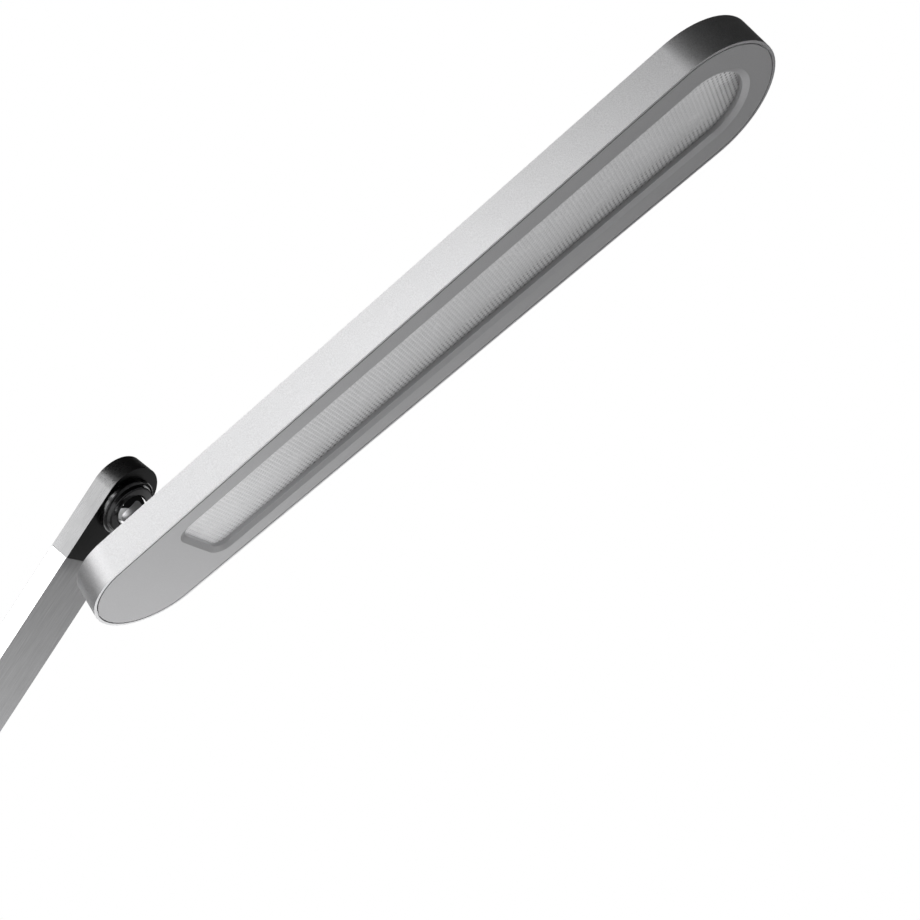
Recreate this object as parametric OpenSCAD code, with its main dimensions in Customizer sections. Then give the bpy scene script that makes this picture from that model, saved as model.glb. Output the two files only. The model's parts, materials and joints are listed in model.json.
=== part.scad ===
// Task light: a flat paddle head with a recessed prism lens, carried by a ball joint
// at the end of a rectangular arm. The arm tilts in a yoke that swings on a stem pin.
// Millimetres. Origin: centre of the stem's shoulder, +Z up, +X towards the head.

/* [Head] */
// Distance between the centres of the head's two round ends
head_l = 300; // [240:1:360]
// Radius of the round end at the ball joint
head_r1 = 28.2; // [26:0.1:32]
// Radius of the far round end
head_r2 = 35; // [30:0.1:38]
// Thickness of the head
head_t = 16.2; // [15.8:0.1:18]
// Side wall of the head shell
shell_wall = 2.4; // [2.2:0.1:3]
// Roof of the head shell
roof_t = 2; // [1.8:0.1:2.5]
// Thin rim that frames the face plate
lip_t = 1.2; // [0.8:0.1:1.4]
// Gap between the rim and the face plate
plate_gap = 0.6; // [0.4:0.1:0.8]
// Thickness of the face plate
plate_t = 1.4; // [1.2:0.1:1.6]

/* [Window] */
// Distance of the straight end of the window from the joint-end centre
win_x0 = 23.9; // [22:0.1:30]
// Half width of the window at its straight end
win_h1 = 19.1; // [16:0.1:19.5]
// Radius of the window's round end
win_r2 = 22.1; // [20:0.1:24]
// Corner radius at the straight end
win_rc = 8; // [6:0.5:9]
// Width of the bevel around the window
bevel_w = 2.7; // [2:0.1:3]
// Height of the bevel
bevel_h = 1.35; // [1:0.05:1.4]
// Height of the lens above the outer face of the plate
lens_z = 3.35; // [3:0.05:3.6]

/* [Ball joint] */
// Radius of the ball
ball_r = 8; // [7.5:0.1:8.2]
// Distance from the joint-end centre to the stud's axis
stud_x = 7.5; // [6:0.1:9]
// Height of the ball's centre above the roof of the head
ball_rise = 20.7; // [20:0.1:24]
// Radius of the stud's neck
neck_r = 3.9; // [3.5:0.1:3.9]
// Depth of the ball's centre in front of the end cap's face
ball_depth = 2; // [1.8:0.1:2.2]

/* [Arm] */
// Distance from the tilt axis to the ball's axis, along the arm
arm_l = 360; // [200:5:450]
// Width of the arm
arm_w = 29.5; // [29:0.1:32]
// Thickness of the arm
arm_t = 10.1; // [10:0.1:10.6]
// Wall of the arm tube
tube_wall = 1.5; // [1.2:0.1:1.6]
// Distance from the ball's axis back to the seam between cap and tube
cap_l = 30.1; // [26:0.1:40]
// Distance from the ball's axis on to the centre of the cap's round end
cap_over = 4.2; // [3.5:0.1:5]

/* [Stand] */
// Radius of the stem pin
pin_r = 6; // [5:0.5:8]
// Length of the stem pin below its shoulder
pin_l = 35; // [25:1:50]
// Height of the tilt axis above the shoulder
tilt_z = 52; // [50:1:60]

/* [Pose] */
// Slope of the arm above the horizontal
arm_angle = 53.5; // [15:0.5:89]
// Angle at which the head leans off the line of the arm
head_lean = 16.3; // [6:0.1:28]
// Turn of the head about its stud
head_yaw = 3.6; // [-10:0.1:10]

/* [Hidden] */

$fn = 96;
eps = 0.05;
hair = 0.01;
run = 0.05;

// Head heights, measured from the lit face
roof_z = head_t - roof_t;
pad_z = roof_z - 2.2;
bracket_z = pad_z - 2.5;
ball_z = head_t + ball_rise;
lens_top = lens_z + 1.8;
film_top = lens_top + 0.3;
guide_top = film_top + 3;
sheet_top = guide_top + 0.3;
back_top = sheet_top + 1;
board_z = back_top + 0.6;
board_top = board_z + 1;

// Edge of the window: normal of its straight side, and half width at x
corner_y = win_h1 - win_rc;
corner_x = win_x0 + win_rc;
edge_d = norm([corner_x - head_l, corner_y]);
edge_normal = atan2(corner_y, corner_x - head_l) - acos((win_r2 - win_rc) / edge_d);
function edge_y(x) = (head_l * cos(edge_normal) + win_r2 - x * cos(edge_normal)) / sin(edge_normal);

// Side of the head: its small taper, and half width at x
side_a = asin((head_r2 - head_r1) / head_l);
function side_y(x) = (head_r1 + x * sin(side_a)) / cos(side_a);

post_x = [50, 130, 210, 284];
post_out = 5.3;
post_r = 1.8;
clip_x = [36, 150, 270];
strip_x0 = 46;
strip_l = 240;
led_step = 12;
bracket_x = [-12, 20];
bracket_w = 34;
bracket_screw_x = [-8, 16];
bracket_screw_y = 13;
board_x = [27, 190];
board_w = 26;
board_screw_x = [56, 184];
button_x = 40;
button_r = 6;
button_travel = 0.6;
driver_x = 48;
hex_facets = 6;

// Socket heights h, measured outwards from the end cap's face
collar_top = 4.5;
ring_h = 2.95;
ring_r = 10.9;
race_r = 10;
race_h0 = -5;
race_h1 = 2.85;
spring_h = -5.85;
// Stepped collar around the socket: radius and height of each corner
collar_profile = [[0, -1], [13.7, -1], [13.6, 0], [13.5, 2.1], [13.1, 2.5], [12.5, 2.6],
                  [12.1, 2.8], [11.5, 4.1], [11.1, 4.35], [0, 4.35]];
lead_h = -8.6;
cap_end_x = arm_l + cap_over;
seam_x = arm_l - cap_l;
ball_in_arm_z = -arm_t / 2 - ball_depth;
tongue_w = arm_w - 2 * tube_wall - 0.2;
tongue_t = arm_t - 2 * tube_wall - 0.2;
tongue_l = 28;
lead_z = 2.3;
lead_r = 1.1;

// Knuckle
hub_r = 11;
hub_w = 13;
hub_x = 16;
tail_l = 24;
bolt_r = 4;
cheek_in = 7.5;
cheek_out = arm_w / 2;
cheek_r = 11.5;
yoke_r = 17;
yoke_z0 = 4.95;
yoke_z1 = 15;
spigot_r = 6;
// Slot that carries the lead from the jack over the bolt and into the tube
lead_slot = [[-11, -1.5], [-7.8, -1.5], [-7.8, 2.6], [-5.9, 4.15], [6, 4.15], [10, 3.1],
             [15, 1], [22, 0.8], [60, 0.8], [60, 4], [17.5, 4], [12, 6.3], [6.5, 7.2],
             [-7, 7.2], [-11, 4.2]];

// Routes of the two leads, rounded points
head_lead_route = [[7.5, 0, 4.7], [7.5, 1, 3.4], [7.5, 6, 3], [8, 12, 3], [11, 18, 3.6],
                   [17, 21, 4.6], [21.6, 21.4, 6.6], [23.2, 21.4, 9.6], [24.4, 20.6, 11.8],
                   [27.4, 17.8, 12.8], [32, 13, 12.8], [37, 9.8, 12.8], [42, 9.2, 12.8],
                   [45.5, 7.4, 12.8], [46.6, 6.4, 12.8], [driver_x - 0.4, 6.1, 12.8]];
arm_lead_route = [[-9.4, 0, 0], [-9.2, 0, 3], [-6.5, 0, 5.4], [0, 0, 5.7], [6, 0, 5.6],
                  [11, 0, 4.5], [16, 0, 2.5], [22, 0, lead_z], [seam_x - 30, 0, lead_z],
                  [arm_l - 4, 0, lead_z], [arm_l, 0, lead_z]];

// ---------- helpers ----------

// Outline around round corners: circles [x, y, r] in anticlockwise order. The straight
// sides lie a hair inside the tangents, so each crosses its circles cleanly.
module belt(c) {
    n = len(c);
    polygon([for (i = [0:n - 1])
        let (a = c[i], b = c[(i + 1) % n],
             d = norm([b[0] - a[0], b[1] - a[1]]),
             t = atan2(b[1] - a[1], b[0] - a[0]) - acos((a[2] - b[2]) / d))
        for (q = [a, b]) [q[0], q[1]] + (q[2] - hair) * [cos(t), sin(t)]]);
    for (q = c)
        translate([q[0], q[1]])
            circle(r = q[2]);
}

module head_outline(inset = 0) {
    belt([[0, 0, head_r1 - inset], [head_l, 0, head_r2 - inset]]);
}

function window_circles(inset) = [[corner_x, -corner_y, win_rc - inset],
                                  [head_l, 0, win_r2 - inset],
                                  [corner_x, corner_y, win_rc - inset]];

module window_outline(inset = 0) {
    belt(window_circles(inset));
}

module slab(z0, z1) {
    translate([0, 0, z0])
        linear_extrude(z1 - z0)
            children();
}

module rod(r, z0, z1) {
    translate([0, 0, z0])
        cylinder(r = r, h = z1 - z0);
}

// Socket for a hex key: distance across the corners w, from z0 up
module key_socket(w, z0) {
    translate([0, 0, z0])
        cylinder(d = w, h = 6, $fn = hex_facets);
}

module disc_ring(r_in, r_out, z0, z1) {
    slab(z0, z1)
        difference() {
            circle(r = r_out);
            circle(r = r_in);
        }
}

module box(x, y, z) {
    translate([x[0], y[0], z[0]])
        cube([x[1] - x[0], y[1] - y[0], z[1] - z[0]]);
}

module both_sides() {
    children();
    mirror([0, 1, 0])
        children();
}

// Local frame on the window's edge at x: +X along the edge, +Y out of the window
module on_edge(x) {
    translate([x, edge_y(x), 0])
        rotate([0, 0, edge_normal - 90])
            children();
}

// Local frame on the head's outer side at x: +X along the side, +Y out of the head
module on_side(x) {
    translate([x, side_y(x), 0])
        rotate([0, 0, side_a])
            children();
}

module at_posts() {
    both_sides()
        for (x = post_x)
            on_edge(x)
                translate([0, post_out, 0])
                    children();
}

module at_bracket_screws() {
    for (x = bracket_screw_x, y = [-bracket_screw_y, bracket_screw_y])
        translate([x, y, 0])
            children();
}

module at_board_screws() {
    for (x = board_screw_x, y = [-10, 10])
        translate([x, y, 0])
            children();
}

function unit(v) = v / norm(v);
function heading(p, i) = unit(p[min(i + 1, len(p) - 1)] - p[max(i - 1, 0)]);

// Round lead of radius r through the points p, closed at both ends
module lead_along(p, r) {
    sides = 10;
    ref = unit([0.31, 0.9, 0.22]);
    pts = [for (i = [0:len(p) - 1])
        let (t = heading(p, i), u = unit(cross(ref, t)), v = cross(t, u))
        for (k = [0:sides - 1])
            p[i] + r * (cos(360 * k / sides) * u + sin(360 * k / sides) * v)];
    walls = [for (i = [0:len(p) - 2], k = [0:sides - 1])
        let (a = i * sides + k, b = i * sides + (k + 1) % sides)
        for (f = [[a, a + sides, b], [b, a + sides, b + sides]]) f];
    first = [for (k = [0:sides - 1]) k];
    last = [for (k = [sides - 1:-1:0]) (len(p) - 1) * sides + k];
    polyhedron(pts, concat(walls, [first, last]), convexity = 10);
}

// Arm frame: origin on the tilt axis, +X along the arm, -Z towards the head
module at_arm() {
    translate([0, 0, tilt_z])
        rotate([0, -arm_angle, 0])
            children();
}

// Socket frame: on the ball's axis, heights h run outwards from the cap's face
module at_socket() {
    translate([arm_l, 0, -arm_t / 2])
        mirror([0, 0, 1])
            children();
}

// Head frame: origin on the joint-end centre in the lit face, +Z towards the roof
module at_head() {
    at_arm()
        translate([arm_l, 0, ball_in_arm_z])
            rotate([0, head_lean, 0])
                rotate([0, 0, head_yaw])
                    translate([-stud_x, 0, -ball_z])
                        children();
}

// ---------- head ----------

module head_shell() {
    color("silver") at_head() difference() {
        union() {
            difference() {
                slab(0, head_t)
                    head_outline();
                slab(-1, plate_t)
                    head_outline(lip_t);
                slab(plate_t - eps, roof_z)
                    head_outline(shell_wall);
            }
            box(bracket_x, [-bracket_w / 2, bracket_w / 2], [pad_z, roof_z + eps]);
        }
        translate([stud_x, 0, 0])
            rod(bolt_r + run, 0, head_t + 1);
        translate([button_x, 0, 0])
            rod(button_r + 0.2, 0, head_t + 1);
        at_bracket_screws()
            rod(1.45, pad_z - 1, roof_z + 1.2);
        both_sides()
            for (x = clip_x)
                on_side(x)
                    box([-4.2, 4.2], [-shell_wall - 1, -shell_wall + 0.8], [4.9, 6.7]);
    }
}

module face_plate() {
    color("gray") at_head() difference() {
        union() {
            slab(0, plate_t)
                head_outline(lip_t + plate_gap);
            slab(plate_t - eps, lens_z)
                window_outline(bevel_w - 1.5);
            at_posts()
                rod(post_r, plate_t - eps, sheet_top);
        }
        slab(-1, lens_z + 1)
            window_outline(bevel_w);
        hull()
            for (c = window_circles(0))
                translate([c[0], c[1], -eps])
                    cylinder(r1 = c[2] + eps * bevel_w / bevel_h, r2 = c[2] - bevel_w, h = bevel_h + eps);
        at_posts()
            rod(1.1, 4, sheet_top + 1);
    }
}

module plate_clips() {
    color("dimgray") at_head()
        both_sides()
            for (x = clip_x)
                on_side(x) {
                    box([-4, 4], [-shell_wall - 0.8, -shell_wall - 0.2], [plate_t, 8.5]);
                    box([-4, 4], [-shell_wall - 0.8, -shell_wall + 0.5], [5.2, 6.4]);
                    box([-4, 4], [-shell_wall - 2, -shell_wall - 0.8], [plate_t, plate_t + 0.6]);
                }
}

module prism_lens() {
    color("whitesmoke") at_head()
        slab(lens_z, lens_top)
            window_outline(1);
}

module diffuser_film() {
    color("white") at_head()
        slab(lens_top, film_top)
            window_outline(1);
}

module light_guide() {
    color("aliceblue") at_head()
        slab(film_top, guide_top)
            window_outline(1);
}

module reflector_sheet() {
    color("white") at_head()
        slab(guide_top, sheet_top)
            window_outline(1);
}

module back_plate() {
    color("lightgray") at_head() difference() {
        union() {
            slab(sheet_top, back_top)
                window_outline(-3.3);
            at_posts() {
                rod(2, sheet_top, back_top);
                box([-2, 2], [-post_out + 2, 0], [sheet_top, back_top]);
            }
            at_board_screws()
                rod(2, back_top - eps, board_z);
        }
        at_posts()
            rod(1.15, sheet_top - 1, back_top + 1);
        at_board_screws()
            rod(0.95, sheet_top + 0.4, board_z + 1);
    }
}

module back_screws() {
    color("dimgray") at_head()
        at_posts() {
            rod(1, 4.2, back_top + eps);
            rod(1.9, back_top, back_top + 1.2);
        }
}

module led_strips() {
    color("ivory") at_head()
        both_sides()
            on_edge(strip_x0)
                box([0, strip_l], [0.1, 1.1], [lens_top, sheet_top - 0.05]);
}

module led_chips() {
    color("khaki") at_head()
        both_sides()
            on_edge(strip_x0)
                for (x = [6:led_step:strip_l - 6])
                    box([x - 1.5, x + 1.5], [-0.7, 0.1], [film_top + 0.7, film_top + 2.3]);
}

module led_rails() {
    color("silver") at_head()
        both_sides()
            on_edge(strip_x0)
                box([0, strip_l], [1.1, 3.1], [plate_t, sheet_top]);
}

module driver_board() {
    color("darkgreen") at_head() difference() {
        box(board_x, [-board_w / 2, board_w / 2], [board_z, board_top]);
        at_board_screws()
            rod(1.1, board_z - 1, board_top + 1);
    }
}

module driver_parts() {
    color("black") at_head() {
        box([driver_x, driver_x + 8], [-2, 7.5], [board_top, board_top + 2.6]);
        box([86, 97], [-5.5, 5.5], [board_top, board_top + 2.4]);
        for (i = [0:2])
            translate([110 + 9 * i, -6, 0])
                rod(3.2, board_top, board_top + 2.4);
        for (i = [0:3])
            box([104 + 15 * i, 110 + 15 * i], [4, 9], [board_top, board_top + 1.2]);
        for (i = [0:5])
            box([150 + 5 * i, 152 + 5 * i], [-9, -5.8], [board_top, board_top + 0.9]);
    }
}

module board_screws() {
    color("dimgray") at_head()
        at_board_screws() {
            rod(0.9, sheet_top + 0.5, board_top + eps);
            rod(1.8, board_top, board_top + 1.1);
        }
}

module tact_switch() {
    color("dimgray") at_head()
        translate([button_x, 0, 0]) {
            box([-3, 3], [-3, 3], [board_top, board_top + 1.15]);
            rod(1.6, board_top + 1, roof_z - 0.9 - button_travel - eps);
        }
}

module stud_bracket() {
    color("gray") at_head() difference() {
        box(bracket_x, [-bracket_w / 2, bracket_w / 2], [bracket_z, pad_z]);
        translate([stud_x, 0, 0])
            rod(bolt_r + run, bracket_z - 1, pad_z + 1);
        at_bracket_screws()
            rod(1.6, bracket_z - 1, pad_z + 1);
    }
}

module bracket_screws() {
    color("dimgray") at_head()
        at_bracket_screws()
            difference() {
                union() {
                    rod(1.4, bracket_z - eps, roof_z + 1);
                    rod(2.7, bracket_z - 1.6, bracket_z);
                }
                key_socket(2.9, bracket_z - 6.6);
            }
}

module head_lead() {
    color("black") at_head()
        lead_along(head_lead_route, lead_r);
}

module switch_button() {
    color("silver") at_head()
        translate([button_x, 0, 0]) {
            difference() {
                rod(button_r, roof_z - 0.1 - eps, head_t + 0.8);
                rod(button_r - 0.9, head_t + 0.5, head_t + 1);
            }
            rod(button_r + 1.2, roof_z - 0.9, roof_z - 0.1);
        }
}

// ---------- ball and stud ----------

module ball_stud() {
    color("lightgray") at_head() translate([stud_x, 0, 0]) difference() {
        union() {
            translate([0, 0, ball_z])
                sphere(r = ball_r);
            rod(neck_r, head_t + 2, ball_z);
            rod(8, head_t + 0.9, head_t + 2.9);
            rod(bolt_r, 5, head_t + 1);
        }
        rod(1.5, 4, ball_z + ball_r + 1);
    }
}

module stud_washers() {
    color("black") at_head() translate([stud_x, 0, 0]) {
        disc_ring(bolt_r + run, 8, head_t + 0.1, head_t + 0.9);
        disc_ring(bolt_r + run, 7.6, bracket_z - 0.8, bracket_z - 0.1);
    }
}

module stud_nut() {
    color("dimgray") at_head() translate([stud_x, 0, 0]) difference() {
        translate([0, 0, bracket_z - 4.2])
            cylinder(r = 7.2, h = 3.4, $fn = hex_facets);
        rod(bolt_r, bracket_z - 5, bracket_z);
    }
}

module stud_lead() {
    color("black") at_head() translate([stud_x, 0, 0])
        rod(lead_r, 5.3, ball_z + ball_r - 0.5);
}

module race_liner() {
    color("ivory") at_arm() at_socket() difference() {
        rod(race_r, race_h0, race_h1);
        translate([0, 0, ball_depth])
            sphere(r = ball_r + run);
        rod(4.2, race_h0 - 1, 0);
    }
}

// ---------- arm ----------

module end_cap() {
    color([0.12, 0.12, 0.12]) at_arm() difference() {
        union() {
            slab(-arm_t / 2, arm_t / 2) {
                translate([seam_x, -arm_w / 2])
                    square([cap_end_x - seam_x, arm_w]);
                translate([cap_end_x, 0])
                    circle(r = arm_w / 2);
            }
            box([seam_x - tongue_l, seam_x + 1], [-tongue_w / 2, tongue_w / 2],
                [-tongue_t / 2, tongue_t / 2]);
            at_socket()
                rotate_extrude()
                    polygon(collar_profile);
        }
        at_socket() {
            rod(ring_r + run, ring_h, collar_top + 1);
            rod(race_r + run, spring_h - 0.05, collar_top);
            rod(4.6, lead_h, 0);
        }
        box([seam_x - tongue_l - 1, arm_l], [-1.7, 1.7], [0.8, -lead_h - arm_t / 2]);
        at_cap_screws()
            rod(1.3, -2.5, arm_t);
    }
}

module at_cap_screws() {
    for (y = [-8, 8])
        translate([seam_x - 14, y, 0])
            children();
}

module at_hub_screws() {
    for (y = [-8, 8])
        translate([hub_x + 14, y, 0])
            children();
}

module collar_ring() {
    color([0.12, 0.12, 0.12]) at_arm() at_socket() difference() {
        rod(ring_r, ring_h, collar_top);
        translate([0, 0, ball_depth])
            sphere(r = ball_r + 0.15);
    }
}

module race_spring() {
    color("gray") at_arm() at_socket()
        disc_ring(5.4, 9.6, spring_h, race_h0 - 0.1);
}

// Countersunk screw of the arm, head flush with the upper face
module arm_screw() {
    difference() {
        union() {
            rod(1.25, -2, arm_t / 2 - 0.4);
            translate([0, 0, arm_t / 2 - 1.5])
                cylinder(r1 = 1.25, r2 = 2.7, h = 1.4);
        }
        key_socket(2.4, arm_t / 2 - 1.2);
    }
}

module cap_screws() {
    color("dimgray") at_arm()
        at_cap_screws()
            arm_screw();
}

module hub_screws() {
    color("dimgray") at_arm()
        at_hub_screws()
            arm_screw();
}

module screw_seat() {
    rod(1.4, 0, arm_t);
    translate([0, 0, arm_t / 2 - 1.5])
        cylinder(r1 = 1.4, r2 = 3, h = 1.55);
}

module arm_tube() {
    color("silver") at_arm() difference() {
        box([hub_x, seam_x], [-arm_w / 2, arm_w / 2], [-arm_t / 2, arm_t / 2]);
        box([hub_x - 1, seam_x + 1], [-arm_w / 2 + tube_wall, arm_w / 2 - tube_wall],
            [-arm_t / 2 + tube_wall, arm_t / 2 - tube_wall]);
        at_cap_screws()
            screw_seat();
        at_hub_screws()
            screw_seat();
    }
}

module arm_lead() {
    color("black") at_arm()
        lead_along(arm_lead_route, lead_r);
}

module knuckle_hub() {
    color([0.14, 0.14, 0.14]) at_arm() difference() {
        union() {
            rotate([90, 0, 0])
                cylinder(r = hub_r, h = hub_w, center = true);
            box([-tail_l, hub_x], [-hub_w / 2, hub_w / 2], [-arm_t / 2, arm_t / 2]);
            box([hub_x - 2.5, hub_x], [-arm_w / 2, arm_w / 2], [-arm_t / 2, arm_t / 2]);
            box([hub_x - 1, hub_x + tongue_l], [-tongue_w / 2, tongue_w / 2],
                [-tongue_t / 2, tongue_t / 2]);
        }
        rotate([90, 0, 0])
            cylinder(r = bolt_r + run, h = arm_w, center = true);
        translate([-tail_l - 1, 0, 0])
            rotate([0, 90, 0])
                rod(4, 0, 14);
        rotate([90, 0, 0])
            translate([0, 0, -1.7])
                linear_extrude(3.4)
                    polygon(lead_slot);
        at_hub_screws()
            rod(1.3, -2.5, arm_t);
    }
}

module dc_jack() {
    color("black") at_arm()
        translate([-tail_l, 0, 0])
            rotate([0, 90, 0])
                difference() {
                    rod(3.95, 0, 12.9);
                    rod(2.75, -1, 10);
                }
}

// ---------- stand ----------

module yoke() {
    color([0.14, 0.14, 0.14]) difference() {
        union() {
            rod(yoke_r, yoke_z0, yoke_z1);
            both_sides() {
                box([-cheek_r, cheek_r], [cheek_in, cheek_out], [yoke_z1 - 1, tilt_z]);
                translate([0, cheek_in, tilt_z])
                    rotate([-90, 0, 0])
                        cylinder(r = cheek_r, h = cheek_out - cheek_in);
            }
        }
        rod(8 + run, 0, yoke_z1 + 1);
        rod(10.5, yoke_z1, yoke_z1 + 6.5);
        translate([0, 0, tilt_z])
            rotate([90, 0, 0])
                cylinder(r = bolt_r + run, h = 40, center = true);
        both_sides()
            translate([0, cheek_out - 4.9, tilt_z])
                rotate([-90, 0, 0])
                    cylinder(r = 9, h = 6);
    }
}

module tilt_bolt() {
    color("dimgray") translate([0, 0, tilt_z]) rotate([90, 0, 0]) difference() {
        union() {
            rod(bolt_r, -cheek_out + 1.8, cheek_out - 4.9);
            rod(7.2, cheek_out - 4.9, cheek_out - 1.7);
        }
        key_socket(7, cheek_out - 4.2);
    }
}

module tilt_nut() {
    color("dimgray") translate([0, 0, tilt_z]) rotate([-90, 0, 0]) difference() {
        translate([0, 0, cheek_out - 4.9])
            cylinder(r = 7.4, h = 3.1, $fn = hex_facets);
        rod(bolt_r, 0, cheek_out);
    }
}

module friction_washers() {
    color("white")
        both_sides()
            translate([0, 0, tilt_z])
                rotate([-90, 0, 0])
                    disc_ring(bolt_r + run, 9.5, hub_w / 2 + 0.1, cheek_in);
}

module pivot_caps() {
    color([0.14, 0.14, 0.14])
        both_sides()
            translate([0, 0, tilt_z])
                rotate([-90, 0, 0])
                    rod(8.9, cheek_out - 1.5, cheek_out + 0.3);
}

module swivel_bush() {
    color("white") {
        disc_ring(spigot_r + run, 14, yoke_z0 - 0.85, yoke_z0);
        disc_ring(spigot_r + run, 8, yoke_z0 - eps, yoke_z1);
    }
}

module stem() {
    color("silver") difference() {
        union() {
            rod(pin_r, 1 - pin_l, 1);
            translate([0, 0, -pin_l])
                cylinder(r1 = pin_r - 1, r2 = pin_r, h = 1);
            rod(yoke_r, 0, 4);
            rod(spigot_r, 3, yoke_z1 + 0.1);
        }
        rod(2.9, -2, yoke_z1 + 1);
    }
}

module swivel_washer() {
    color("gray")
        disc_ring(3.1, 10, yoke_z1 + 0.1, yoke_z1 + 1.6);
}

module swivel_screw() {
    color("dimgray") difference() {
        union() {
            rod(2.85, -1, yoke_z1 + 2);
            rod(5, yoke_z1 + 1.6, yoke_z1 + 5.6);
        }
        key_socket(5.6, yoke_z1 + 3);
    }
}

head_shell();
face_plate();
plate_clips();
prism_lens();
diffuser_film();
light_guide();
reflector_sheet();
back_plate();
back_screws();
led_strips();
led_chips();
led_rails();
driver_board();
driver_parts();
board_screws();
tact_switch();
stud_bracket();
bracket_screws();
head_lead();
switch_button();
ball_stud();
stud_washers();
stud_nut();
stud_lead();
race_liner();
end_cap();
collar_ring();
race_spring();
cap_screws();
arm_tube();
arm_lead();
knuckle_hub();
hub_screws();
dc_jack();
yoke();
tilt_bolt();
tilt_nut();
friction_washers();
pivot_caps();
swivel_bush();
stem();
swivel_washer();
swivel_screw();
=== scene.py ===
import json
import math

import bmesh
import bpy
from mathutils import Matrix, Vector


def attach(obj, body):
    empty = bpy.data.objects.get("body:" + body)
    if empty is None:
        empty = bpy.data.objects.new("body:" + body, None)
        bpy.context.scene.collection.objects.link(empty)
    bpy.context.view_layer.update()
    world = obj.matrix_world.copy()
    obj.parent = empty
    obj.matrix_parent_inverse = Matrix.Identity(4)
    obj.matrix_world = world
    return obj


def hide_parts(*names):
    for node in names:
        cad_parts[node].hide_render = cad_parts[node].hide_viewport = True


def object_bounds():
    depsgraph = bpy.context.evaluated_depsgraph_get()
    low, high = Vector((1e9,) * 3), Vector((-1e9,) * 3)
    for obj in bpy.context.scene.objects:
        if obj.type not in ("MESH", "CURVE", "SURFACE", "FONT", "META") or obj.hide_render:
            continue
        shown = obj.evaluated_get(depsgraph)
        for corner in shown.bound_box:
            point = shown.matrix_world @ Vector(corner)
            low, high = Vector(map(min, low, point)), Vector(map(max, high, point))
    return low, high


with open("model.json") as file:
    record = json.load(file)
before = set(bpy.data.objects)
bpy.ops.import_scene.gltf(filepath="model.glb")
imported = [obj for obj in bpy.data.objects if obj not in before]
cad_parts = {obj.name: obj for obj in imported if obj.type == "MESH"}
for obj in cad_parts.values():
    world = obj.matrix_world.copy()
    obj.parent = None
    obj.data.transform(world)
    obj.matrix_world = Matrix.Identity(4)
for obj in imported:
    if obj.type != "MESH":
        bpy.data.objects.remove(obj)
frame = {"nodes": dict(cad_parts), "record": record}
cad_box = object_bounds()
NODES = frame["nodes"]
MM = 0.001

# Finish: cloud cells and brush lines per metre
CLOUD_CELLS, BRUSH_LINES = 90.0, 2600.0
# Weld distance in metres, and the angle in degrees above which an edge is rounded and stays
# sharp in the shading
WELD_DISTANCE, SHARP_ANGLE = 2e-6, 22

# Sizes shared with the CAD source, in millimetres and degrees
HEAD_L, BALL_RISE, HEAD_T, STUD_X = 300, 20.7, 16.2, 7.5
ARM_L, ARM_T, BALL_DEPTH, TILT_Z = 360, 10.1, 2, 52
ARM_ANGLE, HEAD_LEAN, HEAD_YAW = 53.5, 16.3, 3.6


def turn(angle, axis):
    """Rotation by degrees about an axis."""
    return Matrix.Rotation(math.radians(angle), 4, axis)


def shift(x, y, z):
    """Move by millimetres."""
    return Matrix.Translation(Vector((x, y, z)) * MM)


ARM = shift(0, 0, TILT_Z) @ turn(-ARM_ANGLE, "Y")
HEAD = (ARM @ shift(ARM_L, 0, -ARM_T / 2 - BALL_DEPTH) @ turn(HEAD_LEAN, "Y")
        @ turn(HEAD_YAW, "Z") @ shift(-STUD_X, 0, -HEAD_T - BALL_RISE))


# ---------- shader helpers ----------

def link(tree, a, b):
    tree.links.new(a, b)


def coords(tree, place=None, scale=(1, 1, 1)):
    """Object coordinates in metres, turned into the frame `place` and stretched."""
    tc = tree.nodes.new("ShaderNodeTexCoord")
    out = tc.outputs["Object"]
    if place is not None:
        m = tree.nodes.new("ShaderNodeMapping")
        m.vector_type = "POINT"
        back = place.inverted()
        m.inputs["Location"].default_value = back.translation
        m.inputs["Rotation"].default_value = back.to_euler()
        link(tree, out, m.inputs["Vector"])
        out = m.outputs["Vector"]
    s = tree.nodes.new("ShaderNodeMapping")
    s.inputs["Scale"].default_value = scale
    link(tree, out, s.inputs["Vector"])
    return s.outputs["Vector"]


def noise(tree, vector, scale, detail, rough=0.5):
    n = tree.nodes.new("ShaderNodeTexNoise")
    n.inputs["Scale"].default_value = scale
    n.inputs["Detail"].default_value = detail
    n.inputs["Roughness"].default_value = rough
    link(tree, vector, n.inputs["Vector"])
    return n.outputs["Fac"]


def remap(tree, value, lo, hi, a, b):
    """Value a becomes lo and value b becomes hi, clamped."""
    m = tree.nodes.new("ShaderNodeMapRange")
    m.inputs["From Min"].default_value = a
    m.inputs["From Max"].default_value = b
    m.inputs["To Min"].default_value = lo
    m.inputs["To Max"].default_value = hi
    link(tree, value, m.inputs["Value"])
    return m.outputs["Result"]


def shade(tree, value, dark, light):
    """Colour ramp over the middle of a noise value's range."""
    r = tree.nodes.new("ShaderNodeValToRGB")
    r.color_ramp.elements[0].position = 0.3
    r.color_ramp.elements[1].position = 0.7
    r.color_ramp.elements[0].color = (*dark, 1)
    r.color_ramp.elements[1].color = (*light, 1)
    link(tree, value, r.inputs["Fac"])
    return r.outputs["Color"]


def bump(tree, height, distance, under=None):
    b = tree.nodes.new("ShaderNodeBump")
    b.inputs["Strength"].default_value = 1.0
    b.inputs["Distance"].default_value = distance
    link(tree, height, b.inputs["Height"])
    if under is not None:
        link(tree, under, b.inputs["Normal"])
    return b.outputs["Normal"]


def along(tree, output, axis):
    """How far a texture coordinate reaches along an axis."""
    dot = tree.nodes.new("ShaderNodeVectorMath")
    dot.operation = "DOT_PRODUCT"
    dot.inputs[1].default_value = axis
    link(tree, tree.nodes.new("ShaderNodeTexCoord").outputs[output], dot.inputs[0])
    return dot.outputs["Value"]


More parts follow.
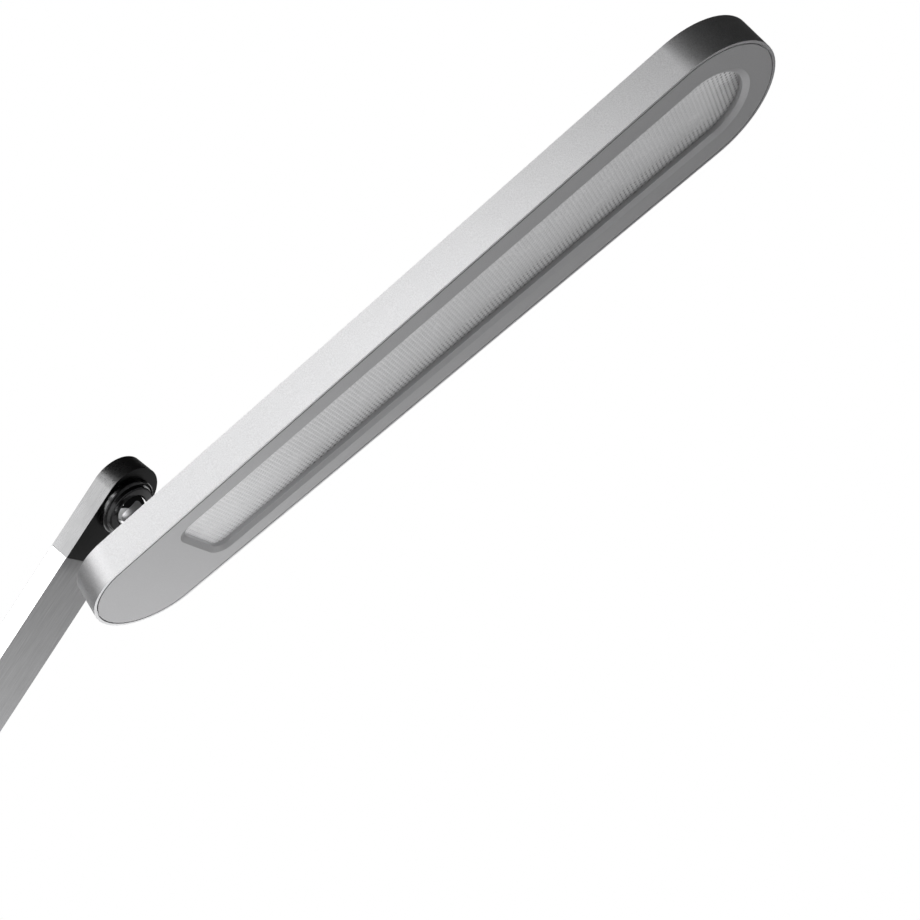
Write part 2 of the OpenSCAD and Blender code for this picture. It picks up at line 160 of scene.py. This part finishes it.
def face_mask(tree, place, flat):
    """1 where the surface looks across the frame's Z axis, 0 where it looks along it."""
    size = tree.nodes.new("ShaderNodeMath")
    size.operation = "ABSOLUTE"
    link(tree, along(tree, "Normal", place.col[2].xyz), size.inputs[0])
    return remap(tree, size.outputs[0], 1, 0, flat - 0.1, flat + 0.1)


def depth_mask(tree, place, z):
    """1 below height z of the frame, in millimetres, and 0 above it."""
    axis = place.col[2].xyz
    level = place.translation.dot(axis) + z * MM
    return remap(tree, along(tree, "Object", axis), 1, 0, level - 0.02 * MM, level + 0.02 * MM)


def mixed(tree, mask, a, b):
    """Socket a where the mask is 0 and b where it is 1; both are colours or both values."""
    m = tree.nodes.new("ShaderNodeMix")
    m.data_type = "RGBA" if a.type == "RGBA" else "FLOAT"
    first, second, out = (6, 7, 2) if m.data_type == "RGBA" else (2, 3, 0)
    link(tree, mask, m.inputs[0])
    link(tree, a, m.inputs[first])
    link(tree, b, m.inputs[second])
    return m.outputs[out]


def material(name, color, rough, metallic=0.0, spread=0.06, rough_spread=0.05,
             grain=None, cloud_share=0.5, brush=None, zones=(), **sockets):
    """Principled material. grain = (cells per metre, height in metres). brush = (frame,
    stretch, height in metres) draws fine lines along the frame's X, or across it when stretch
    is under 1. Each zone = (mask, its arguments, colour, roughness) gives part of the surface
    another tone."""
    m = bpy.data.materials.new(name)
    m.use_nodes = True
    tree = m.node_tree
    p = tree.nodes["Principled BSDF"]
    p.inputs["Metallic"].default_value = metallic
    for key, value in sockets.items():
        p.inputs[key.replace("_", " ")].default_value = value
    plain = coords(tree)
    clouds = noise(tree, plain, CLOUD_CELLS, 3.0)
    fine = clouds
    normal = None
    if grain:
        fine = noise(tree, plain, grain[0], 1.0)
        normal = bump(tree, fine, grain[1])
    if brush:
        place, stretch, height = brush
        stretched = coords(tree, place, (1 / stretch, 1, 1))
        lines = noise(tree, stretched, BRUSH_LINES, 4.0, 0.7)
        normal = bump(tree, lines, height, under=normal)
        fine = lines
    both = tree.nodes.new("ShaderNodeMath")
    both.operation = "MULTIPLY_ADD"
    both.inputs[1].default_value = 1 - cloud_share
    link(tree, fine, both.inputs[0])
    half = tree.nodes.new("ShaderNodeMath")
    half.operation = "MULTIPLY"
    half.inputs[1].default_value = cloud_share
    link(tree, clouds, half.inputs[0])
    link(tree, half.outputs[0], both.inputs[2])

    def tone(c):
        return shade(tree, fine, [v * (1 - spread) for v in c],
                     [min(1.0, v * (1 + spread)) for v in c])

    def sheen(r):
        return remap(tree, both.outputs[0], r - rough_spread, r + rough_spread, 0.35, 0.65)

    base, gloss = tone(color), sheen(rough)
    for mask, args, zone_color, zone_rough in zones:
        where = mask(tree, *args)
        base = mixed(tree, where, base, tone(zone_color))
        gloss = mixed(tree, where, gloss, sheen(zone_rough))
    link(tree, base, p.inputs["Base Color"])
    link(tree, gloss, p.inputs["Roughness"])
    if normal is not None:
        link(tree, normal, p.inputs["Normal"])
    return m


def grey(v):
    """Grey with a trace of blue."""
    return (v, v, v * 1.01)


# Greys are set against the photograph's tones. The tube's zone paints its narrow sides paler
# than its wide faces, as the photograph shows them: painted light, since a real tube has one
# finish.
MATERIALS = {
    "head_aluminium": material("blasted_silver", grey(0.80), 0.42, 0.9, 0.10, 0.03,
                               (2300, 26e-6), cloud_share=0.1),
    "plate_aluminium": material("matt_grey", grey(0.62), 0.5, 0.75, 0.05, 0.03,
                                (3200, 12e-6), cloud_share=0.1),
    "spring_steel": material("spring_steel", grey(0.45), 0.3, 1.0, 0.05, 0.06),
    # The lens gives off a faint glow of its own: painted light that brightens it, not the lamp's
    # light
    "lens_acrylic": material("prism_acrylic", grey(0.92), 0.25, 0.0, 0.03, 0.04,
                             IOR=1.49, Emission_Strength=0.23),
    "film": material("film_white", grey(0.85), 0.6, grain=(4000, 2e-6)),
    "guide_acrylic": material("guide_clear", (0.82, 0.88, 0.92), 0.1, rough_spread=0.03,
                              Transmission_Weight=0.7, IOR=1.49),
    "white_sheet": material("sheet_white", grey(0.9), 0.5),
    "inner_aluminium": material("mill_aluminium", grey(0.75), 0.4, 1.0,
                                brush=(HEAD, 30, 3e-6)),
    "screw_steel": material("screw_steel", grey(0.3), 0.32, 1.0, 0.08, 0.08, (5000, 3e-6)),
    "board_white": material("mask_white", (0.88, 0.88, 0.84), 0.4),
    "led_yellow": material("phosphor", (0.9, 0.8, 0.35), 0.3),
    "board_green": material("mask_green", (0.03, 0.16, 0.08), 0.35, spread=0.15),
    "parts_black": material("moulded_black", grey(0.045), 0.5, grain=(4000, 6e-6)),
    "bracket_steel": material("bracket_steel", grey(0.5), 0.38, 1.0, grain=(3500, 4e-6)),
    "lead_black": material("jacket_black", grey(0.03), 0.45, grain=(5000, 5e-6)),
    "button_aluminium": material("button_satin", grey(0.78), 0.3, 0.95, grain=(4500, 4e-6)),
    "ball_chrome": material("chrome", grey(0.9), 0.05, 1.0, 0.02, 0.02),
    "washer_black": material("nylon_black", grey(0.04), 0.45, grain=(4000, 4e-6)),
    "race_acetal": material("acetal", (0.8, 0.78, 0.72), 0.4, grain=(3000, 3e-6)),
    "cap_black": material("anodised_black", grey(0.04), 0.38, 1.0, 0.15, 0.06,
                          (3800, 4e-6)),
    # The tube's paler narrow sides are painted light
    "tube_aluminium": material("brushed_tube", grey(0.38), 0.36, 1.0, 0.22, 0.08,
                               cloud_share=0.3, brush=(ARM, 45, 14e-6),
                               zones=[(face_mask, (ARM, 0.5), grey(0.9), 0.24)]),
    "slip_white": material("slip_white", (0.85, 0.85, 0.82), 0.45, grain=(3000, 3e-6)),
    "stem_steel": material("turned_steel", grey(0.6), 0.28, 1.0, 0.06, 0.06,
                           brush=(turn(90, "Y"), 0.02, 3e-6)),
}

# For the same reason the end cap's narrow sides, and the collar that stands below the arm's
# lower face, are painted paler than the rest of it: painted light
BELOW_ARM = (ARM, -ARM_T / 2 - 0.05)
END_CAP = material("brushed_black", grey(0.035), 0.36, 1.0, 0.18, 0.06, cloud_share=0.3,
                   brush=(ARM, 45, 8e-6),
                   zones=[(face_mask, (ARM, 0.5), grey(0.36), 0.3),
                          (depth_mask, BELOW_ARM, grey(0.16), 0.22)])
COLLAR = material("gloss_black", grey(0.13), 0.2, 1.0, 0.1, 0.04)


# ---------- geometry helpers ----------

def node_group(name, build):
    """Geometry node group with one geometry in and one out."""
    g = bpy.data.node_groups.new(name, "GeometryNodeTree")
    g.interface.new_socket("Geometry", in_out="INPUT", socket_type="NodeSocketGeometry")
    g.interface.new_socket("Geometry", in_out="OUTPUT", socket_type="NodeSocketGeometry")
    start = g.nodes.new("NodeGroupInput").outputs[0]
    g.links.new(build(g, start), g.nodes.new("NodeGroupOutput").inputs[0])
    return g


def build_weld(g, geo):
    """Joins points that coincide and drops the CAD's stored normals."""
    merge = g.nodes.new("GeometryNodeMergeByDistance")
    merge.inputs["Distance"].default_value = WELD_DISTANCE
    g.links.new(geo, merge.inputs["Geometry"])
    drop = g.nodes.new("GeometryNodeRemoveAttribute")
    drop.inputs["Name"].default_value = "custom_normal"
    g.links.new(merge.outputs[0], drop.inputs["Geometry"])
    return drop.outputs[0]


def build_smooth(g, geo):
    """Shades smooth, apart from edges over the sharp angle."""
    faces = g.nodes.new("GeometryNodeSetShadeSmooth")
    faces.domain = "FACE"
    faces.inputs["Shade Smooth"].default_value = True
    g.links.new(geo, faces.inputs[0])
    angle = g.nodes.new("GeometryNodeInputMeshEdgeAngle")
    big = g.nodes.new("FunctionNodeCompare")
    big.operation = "GREATER_THAN"
    big.inputs[1].default_value = math.radians(SHARP_ANGLE)
    g.links.new(angle.outputs[0], big.inputs[0])
    edges = g.nodes.new("GeometryNodeSetShadeSmooth")
    edges.domain = "EDGE"
    edges.inputs["Shade Smooth"].default_value = False
    g.links.new(faces.outputs[0], edges.inputs[0])
    g.links.new(big.outputs[0], edges.inputs["Selection"])
    return edges.outputs[0]


WELD = node_group("weld", build_weld)
SMOOTH = node_group("smooth", build_smooth)


def round_edges(obj, width):
    """Welds the mesh, rounds its edges and gives its flats true normals."""
    w = obj.modifiers.new("weld", "NODES")
    w.node_group = WELD
    b = obj.modifiers.new("edges", "BEVEL")
    b.width = width * MM
    b.segments = 2
    b.limit_method = "ANGLE"
    b.angle_limit = math.radians(SHARP_ANGLE)
    b.use_clamp_overlap = True
    b.miter_outer = "MITER_ARC"
    s = obj.modifiers.new("smooth", "NODES")
    s.node_group = SMOOTH
    n = obj.modifiers.new("normals", "WEIGHTED_NORMAL")
    n.keep_sharp = True
    n.weight = 100


# ---------- CAD nodes: finish and edges ----------

for sub in frame["record"]["subparts"]:
    for slot in NODES[sub["node"]].material_slots:
        slot.link = "OBJECT"
        slot.material = MATERIALS[sub["material_slot"]]

NODES["end_cap"].material_slots[0].material = END_CAP
NODES["collar_ring"].material_slots[0].material = COLLAR

EDGE_WIDTHS = {"head_shell": 0.3, "face_plate": 0.12, "switch_button": 0.25, "end_cap": 0.25,
               "collar_ring": 0.1, "arm_tube": 0.25, "knuckle_hub": 0.3, "yoke": 0.6,
               "stem": 0.3, "pivot_caps": 0.3}
for name, width in EDGE_WIDTHS.items():
    round_edges(NODES[name], width)


# ---------- prism lens ----------

# Window in the head's frame: its straight end, half width there, far radius, corner radius
WIN_X0, WIN_H1, WIN_R2, WIN_RC = 23.9, 19.1, 22.1, 8.0
# Lens: lower face, thickness, gap to the window's outline; the window's bevel; prism pitch
LENS_Z, LENS_T, LENS_GAP, BEVEL_W = 3.35, 1.8, 1.0, 2.7
PRISM_X, PRISM_Y, PRISM_H = 1.93, 1.88, 0.28

# Lens shade, set against the photograph's brightness; lengths in millimetres.
# The whole lens takes painted shade by a share over a length of the head, from a start: share,
# start, length
BROAD_SHADE = ((0.2, 45, 45), (0.1, 90, 200))
# The painted shade beside the +Y edge: its share, how fast it fades, and how it grows along the
# head
EDGE_SHARE, EDGE_FADE, REACH_START, REACH_OVER = 0.62, 8, 0.24, 250
# Pits darkened with painted shade: beside the +Y edge, at the round end, at the joint end, and
# how far they lighten what lies between them
EDGE_PITS_TO, EDGE_PITS_OVER = 10, 6
END_PITS, END_PITS_FROM, END_PITS_OVER = 0.8, 296, 20
JOINT_PITS, JOINT_PITS_FROM, JOINT_PITS_OVER = 0.4, 26, 9
PIT_RELIEF = 0.17


def window_distance(x, y, inset):
    """Signed distance to the window's outline, inset, and that outline's nearest point."""
    rc, r2 = WIN_RC - inset, WIN_R2 - inset
    cx, cy = WIN_X0 + WIN_RC, WIN_H1 - WIN_RC
    side = 1 if y >= 0 else -1
    ay = abs(y)
    d = math.hypot(cx - HEAD_L, cy)
    t = math.atan2(cy, cx - HEAD_L) - math.acos((WIN_R2 - WIN_RC) / d)
    nx, ny = math.cos(t), math.sin(t)
    ux, uy = ny, -nx
    found = []
    side_from = cx * ux + cy * uy
    side_to = HEAD_L * ux
    reach = x * ux + ay * uy
    out = (x - HEAD_L) * nx + ay * ny - r2
    if reach > side_to:
        q = math.hypot(x - HEAD_L, ay)
        return q - r2, (HEAD_L + (x - HEAD_L) * r2 / q, side * ay * r2 / q)
    if reach > side_from:
        found.append((out, (x - out * nx, side * (ay - out * ny))))
    left = WIN_X0 + inset - x
    if ay <= cy:
        found.append((left, (WIN_X0 + inset, y)))
    if reach <= side_from and ay > cy:
        q = max(math.hypot(x - cx, ay - cy), 1e-6)
        found.append((q - rc, (cx + (x - cx) * rc / q, side * (cy + (ay - cy) * rc / q))))
    return max(found)


def prism_role(i, j):
    """What a corner of the prism grid is: the tip of a pyramid, a pit or a plain groove."""
    if i % 2:
        return "groove"
    return "tip" if (j + i // 2) % 2 else "pit"


def ramp(value, start, length):
    """0 up to start, then rising to 1 over length."""
    return min(1.0, max(0.0, (value - start) / length))


def prism_shade(x, y, role):
    """How much painted shade the lens has at a corner: the painted shade deepens away from the
    joint and towards the +Y edge, and the pits' painted shade shows most beside that edge and at
    the round end."""
    half = WIN_H1 + (WIN_R2 - WIN_H1) * ramp(x, WIN_X0, HEAD_L - WIN_X0) - BEVEL_W
    edge = max(0.0, half - math.hypot(max(0.0, x - HEAD_L), max(0.0, y)) + max(0.0, -y))
    reach = min(1.0, REACH_START + x / REACH_OVER)
    pits = max(reach * ramp(EDGE_PITS_TO - edge, 0, EDGE_PITS_OVER),
               END_PITS * ramp(x, END_PITS_FROM, END_PITS_OVER),
               JOINT_PITS * max(0.0, 1 - (x - JOINT_PITS_FROM) / JOINT_PITS_OVER))
    broad = sum(share * ramp(x, start, length) for share, start, length in BROAD_SHADE)
    share = broad + EDGE_SHARE * reach * math.exp(-edge / EDGE_FADE) - PIT_RELIEF * pits
    return min(1.0, max(0.0, share) + (pits if role == "pit" else 0.0))


def corners(i, j):
    """The four corners of a grid cell, in turn."""
    return (i, j), (i + 1, j), (i + 1, j + 1), (i, j + 1)


def lens_mesh():
    """Lens plate whose lower face is a field of small square pyramids, laid like bricks, with
    painted shade stored on its lower corners.
    """
    bm = bmesh.new()
    # The groove layer holds painted shade: how much each lower corner of the lens is darkened
    groove = bm.verts.layers.float.new("groove")
    nx = int((HEAD_L + WIN_R2 - WIN_X0) / (PRISM_X / 2)) + 2
    ny = int(WIN_R2 / (PRISM_Y / 2)) + 1
    grid, inside = {}, {}
    for i in range(nx):
        for j in range(-ny, ny + 1):
            x, y = WIN_X0 + LENS_GAP + i * PRISM_X / 2, j * PRISM_Y / 2
            inside[i, j] = window_distance(x, y, LENS_GAP)[0] <= 1e-6
            grid[i, j] = (x, y)
    cells = [(i, j) for i in range(nx - 1) for j in range(-ny, ny)
             if all(inside[k] for k in corners(i, j))]
    count = {}
    for cell in cells:
        for k in corners(*cell):
            count[k] = count.get(k, 0) + 1
    low, high = {}, {}
    for k, n in count.items():
        x, y = grid[k]
        z = LENS_Z
        if n < 4:
            x, y = window_distance(x, y, LENS_GAP)[1]
        elif prism_role(*k) != "tip":
            z += PRISM_H
        low[k] = bm.verts.new(HEAD @ (Vector((x, y, z)) * MM))
        high[k] = bm.verts.new(HEAD @ (Vector((x, y, LENS_Z + LENS_T)) * MM))
    edges = {}
    for cell in cells:
        a, b, c, d = corners(*cell)
        if "tip" in (prism_role(*b), prism_role(*d)):
            tris = ((a, d, b), (b, d, c))
        else:
            tris = ((a, c, b), (a, d, c))
        for t in tris:
            bm.faces.new([low[k] for k in t])
        bm.faces.new([high[k] for k in (a, b, c, d)])
        for e in ((a, b), (b, c), (c, d), (d, a)):
            edges[e] = edges.get(e, 0) + 1
    for a, b in edges:
        if (b, a) not in edges:
            bm.faces.new((low[a], low[b], high[b], high[a]))
    bmesh.ops.recalc_face_normals(bm, faces=bm.faces)
    mesh = bpy.data.meshes.new("prism_lens_field")
    # Each lower corner takes its painted shade
    for k, v in low.items():
        v[groove] = prism_shade(*grid[k], prism_role(*k))
    bm.to_mesh(mesh)
    bm.free()
    return mesh


def paint_lens_shade(mat):
    """Mixes the mesh's painted shade into the lens's colour and into the painted glow it gives
    off.
    """
    tree = mat.node_tree
    sockets = tree.nodes["Principled BSDF"].inputs
    a = tree.nodes.new("ShaderNodeAttribute")
    # The groove attribute carries the lens's painted shade
    a.attribute_name = "groove"
    plain = sockets["Base Color"].links[0].from_socket
    tone = mixed(tree, a.outputs["Fac"], plain, shade(tree, plain, grey(0.02), grey(0.03)))
    link(tree, tone, sockets["Base Color"])
    link(tree, tone, sockets["Emission Color"])


paint_lens_shade(MATERIALS["lens_acrylic"])
lens = bpy.data.objects.new("prism_lens_field", lens_mesh())
bpy.context.scene.collection.objects.link(lens)
lens.data.materials.append(MATERIALS["lens_acrylic"])
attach(lens, "head")
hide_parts("prism_lens")


# ---------- floor, light, camera ----------

# In metres, watts and degrees. The lights are fitted to the photograph's tones, not measured.
# Softboxes: name, azimuth, elevation, power. Panels: name, x, power.
LIGHT_AT, LIGHT_FAR, LIGHT_SIZE = Vector((0.3, 0, 0.36)), 1.6, 0.8
SOFTBOXES = (("front", -10, 15, 4.9), ("left_low", -50, -3, 2.6), ("left_high", -48, 15, 2.9),
             ("back_left", -150, 5, 1.9), ("right", 115, -1, 4.3), ("back", -178, 25, 2.2),
             ("over_left", -90, 48, 3.0))
PANELS = (("bounce_left", 0.0, 1.85), ("bounce_right", 0.6, 0.56))
PANEL_SIZE, PANEL_Y, PANEL_RISE = (0.6, 1.1), 0.62, 0.005
FLOOR_R, FLOOR_GAP, FLOOR_SIDES = 1.45, 0.0005, 96
WORLD_FILL = 0.004
# The camera is fitted to the head's outline, taking the picture to be uncropped
CAMERA_AT, CAMERA_TURN = (0.58812, -0.51177, 0.22563), (102.2529, -0.2461, 22.4684)
CAMERA_LENS, CAMERA_SENSOR, CAMERA_CLIP = 56.09, 36, 0.02


def stage_disc(name, x, z, radius):
    bm = bmesh.new()
    bmesh.ops.create_circle(bm, cap_ends=True, segments=FLOOR_SIDES, radius=radius)
    mesh = bpy.data.meshes.new(name)
    bm.to_mesh(mesh)
    bm.free()
    o = bpy.data.objects.new(name, mesh)
    o.location = (x, 0, z)
    bpy.context.scene.collection.objects.link(o)
    return o


# The floor ends inside the ring of lights, so that no light's edge shows on it
floor = stage_disc("floor", LIGHT_AT.x, cad_box[0].z - FLOOR_GAP, FLOOR_R)
floor.data.materials.append(material("floor_pale", grey(0.9), 0.7, spread=0.01))


def area_light(name, size, power, location, rotation):
    """Rectangular light that the camera doesn't see."""
    data = bpy.data.lights.new(name, "AREA")
    data.shape = "RECTANGLE"
    data.size, data.size_y = size
    data.energy = power
    o = bpy.data.objects.new(name, data)
    o.location = location
    o.rotation_euler = rotation
    o.visible_camera = False
    bpy.context.scene.collection.objects.link(o)


# Each softbox faces the head from its bearing: azimuth 0 stands in front of it, on -Y
for name, azimuth, elevation, power in SOFTBOXES:
    a, e = math.radians(azimuth), math.radians(elevation)
    away = Vector((math.sin(a) * math.cos(e), -math.cos(a) * math.cos(e), math.sin(e)))
    area_light(name, (LIGHT_SIZE, LIGHT_SIZE), power, LIGHT_AT + away * LIGHT_FAR,
               (-away).to_track_quat("-Z", "Y").to_euler())

# Low panels behind the light throw light up, as a bright floor does
for name, x, power in PANELS:
    area_light(name, PANEL_SIZE, power, (x, PANEL_Y, cad_box[0].z + PANEL_RISE),
               (math.pi, 0, 0))

# White to the camera and nearly black to everything else
world = bpy.data.worlds.new("studio")
bpy.context.scene.world = world
world.use_nodes = True
tree = world.node_tree
tree.nodes.clear()
seen = tree.nodes.new("ShaderNodeBackground")
seen.inputs["Color"].default_value = (1, 1, 1, 1)
seen.inputs["Strength"].default_value = 1.0
fill = tree.nodes.new("ShaderNodeBackground")
fill.inputs["Color"].default_value = (WORLD_FILL, WORLD_FILL, WORLD_FILL, 1)
path = tree.nodes.new("ShaderNodeLightPath")
mix = tree.nodes.new("ShaderNodeMixShader")
link(tree, path.outputs["Is Camera Ray"], mix.inputs["Fac"])
link(tree, fill.outputs[0], mix.inputs[1])
link(tree, seen.outputs[0], mix.inputs[2])
link(tree, mix.outputs[0], tree.nodes.new("ShaderNodeOutputWorld").inputs["Surface"])

camera = bpy.data.objects.new("camera", bpy.data.cameras.new("camera"))
camera.data.lens = CAMERA_LENS
camera.data.sensor_width = CAMERA_SENSOR
camera.location = CAMERA_AT
camera.rotation_euler = [math.radians(angle) for angle in CAMERA_TURN]
camera.data.clip_start = CAMERA_CLIP
bpy.context.scene.collection.objects.link(camera)
bpy.context.scene.camera = camera
bpy.context.scene.view_settings.view_transform = "Standard"
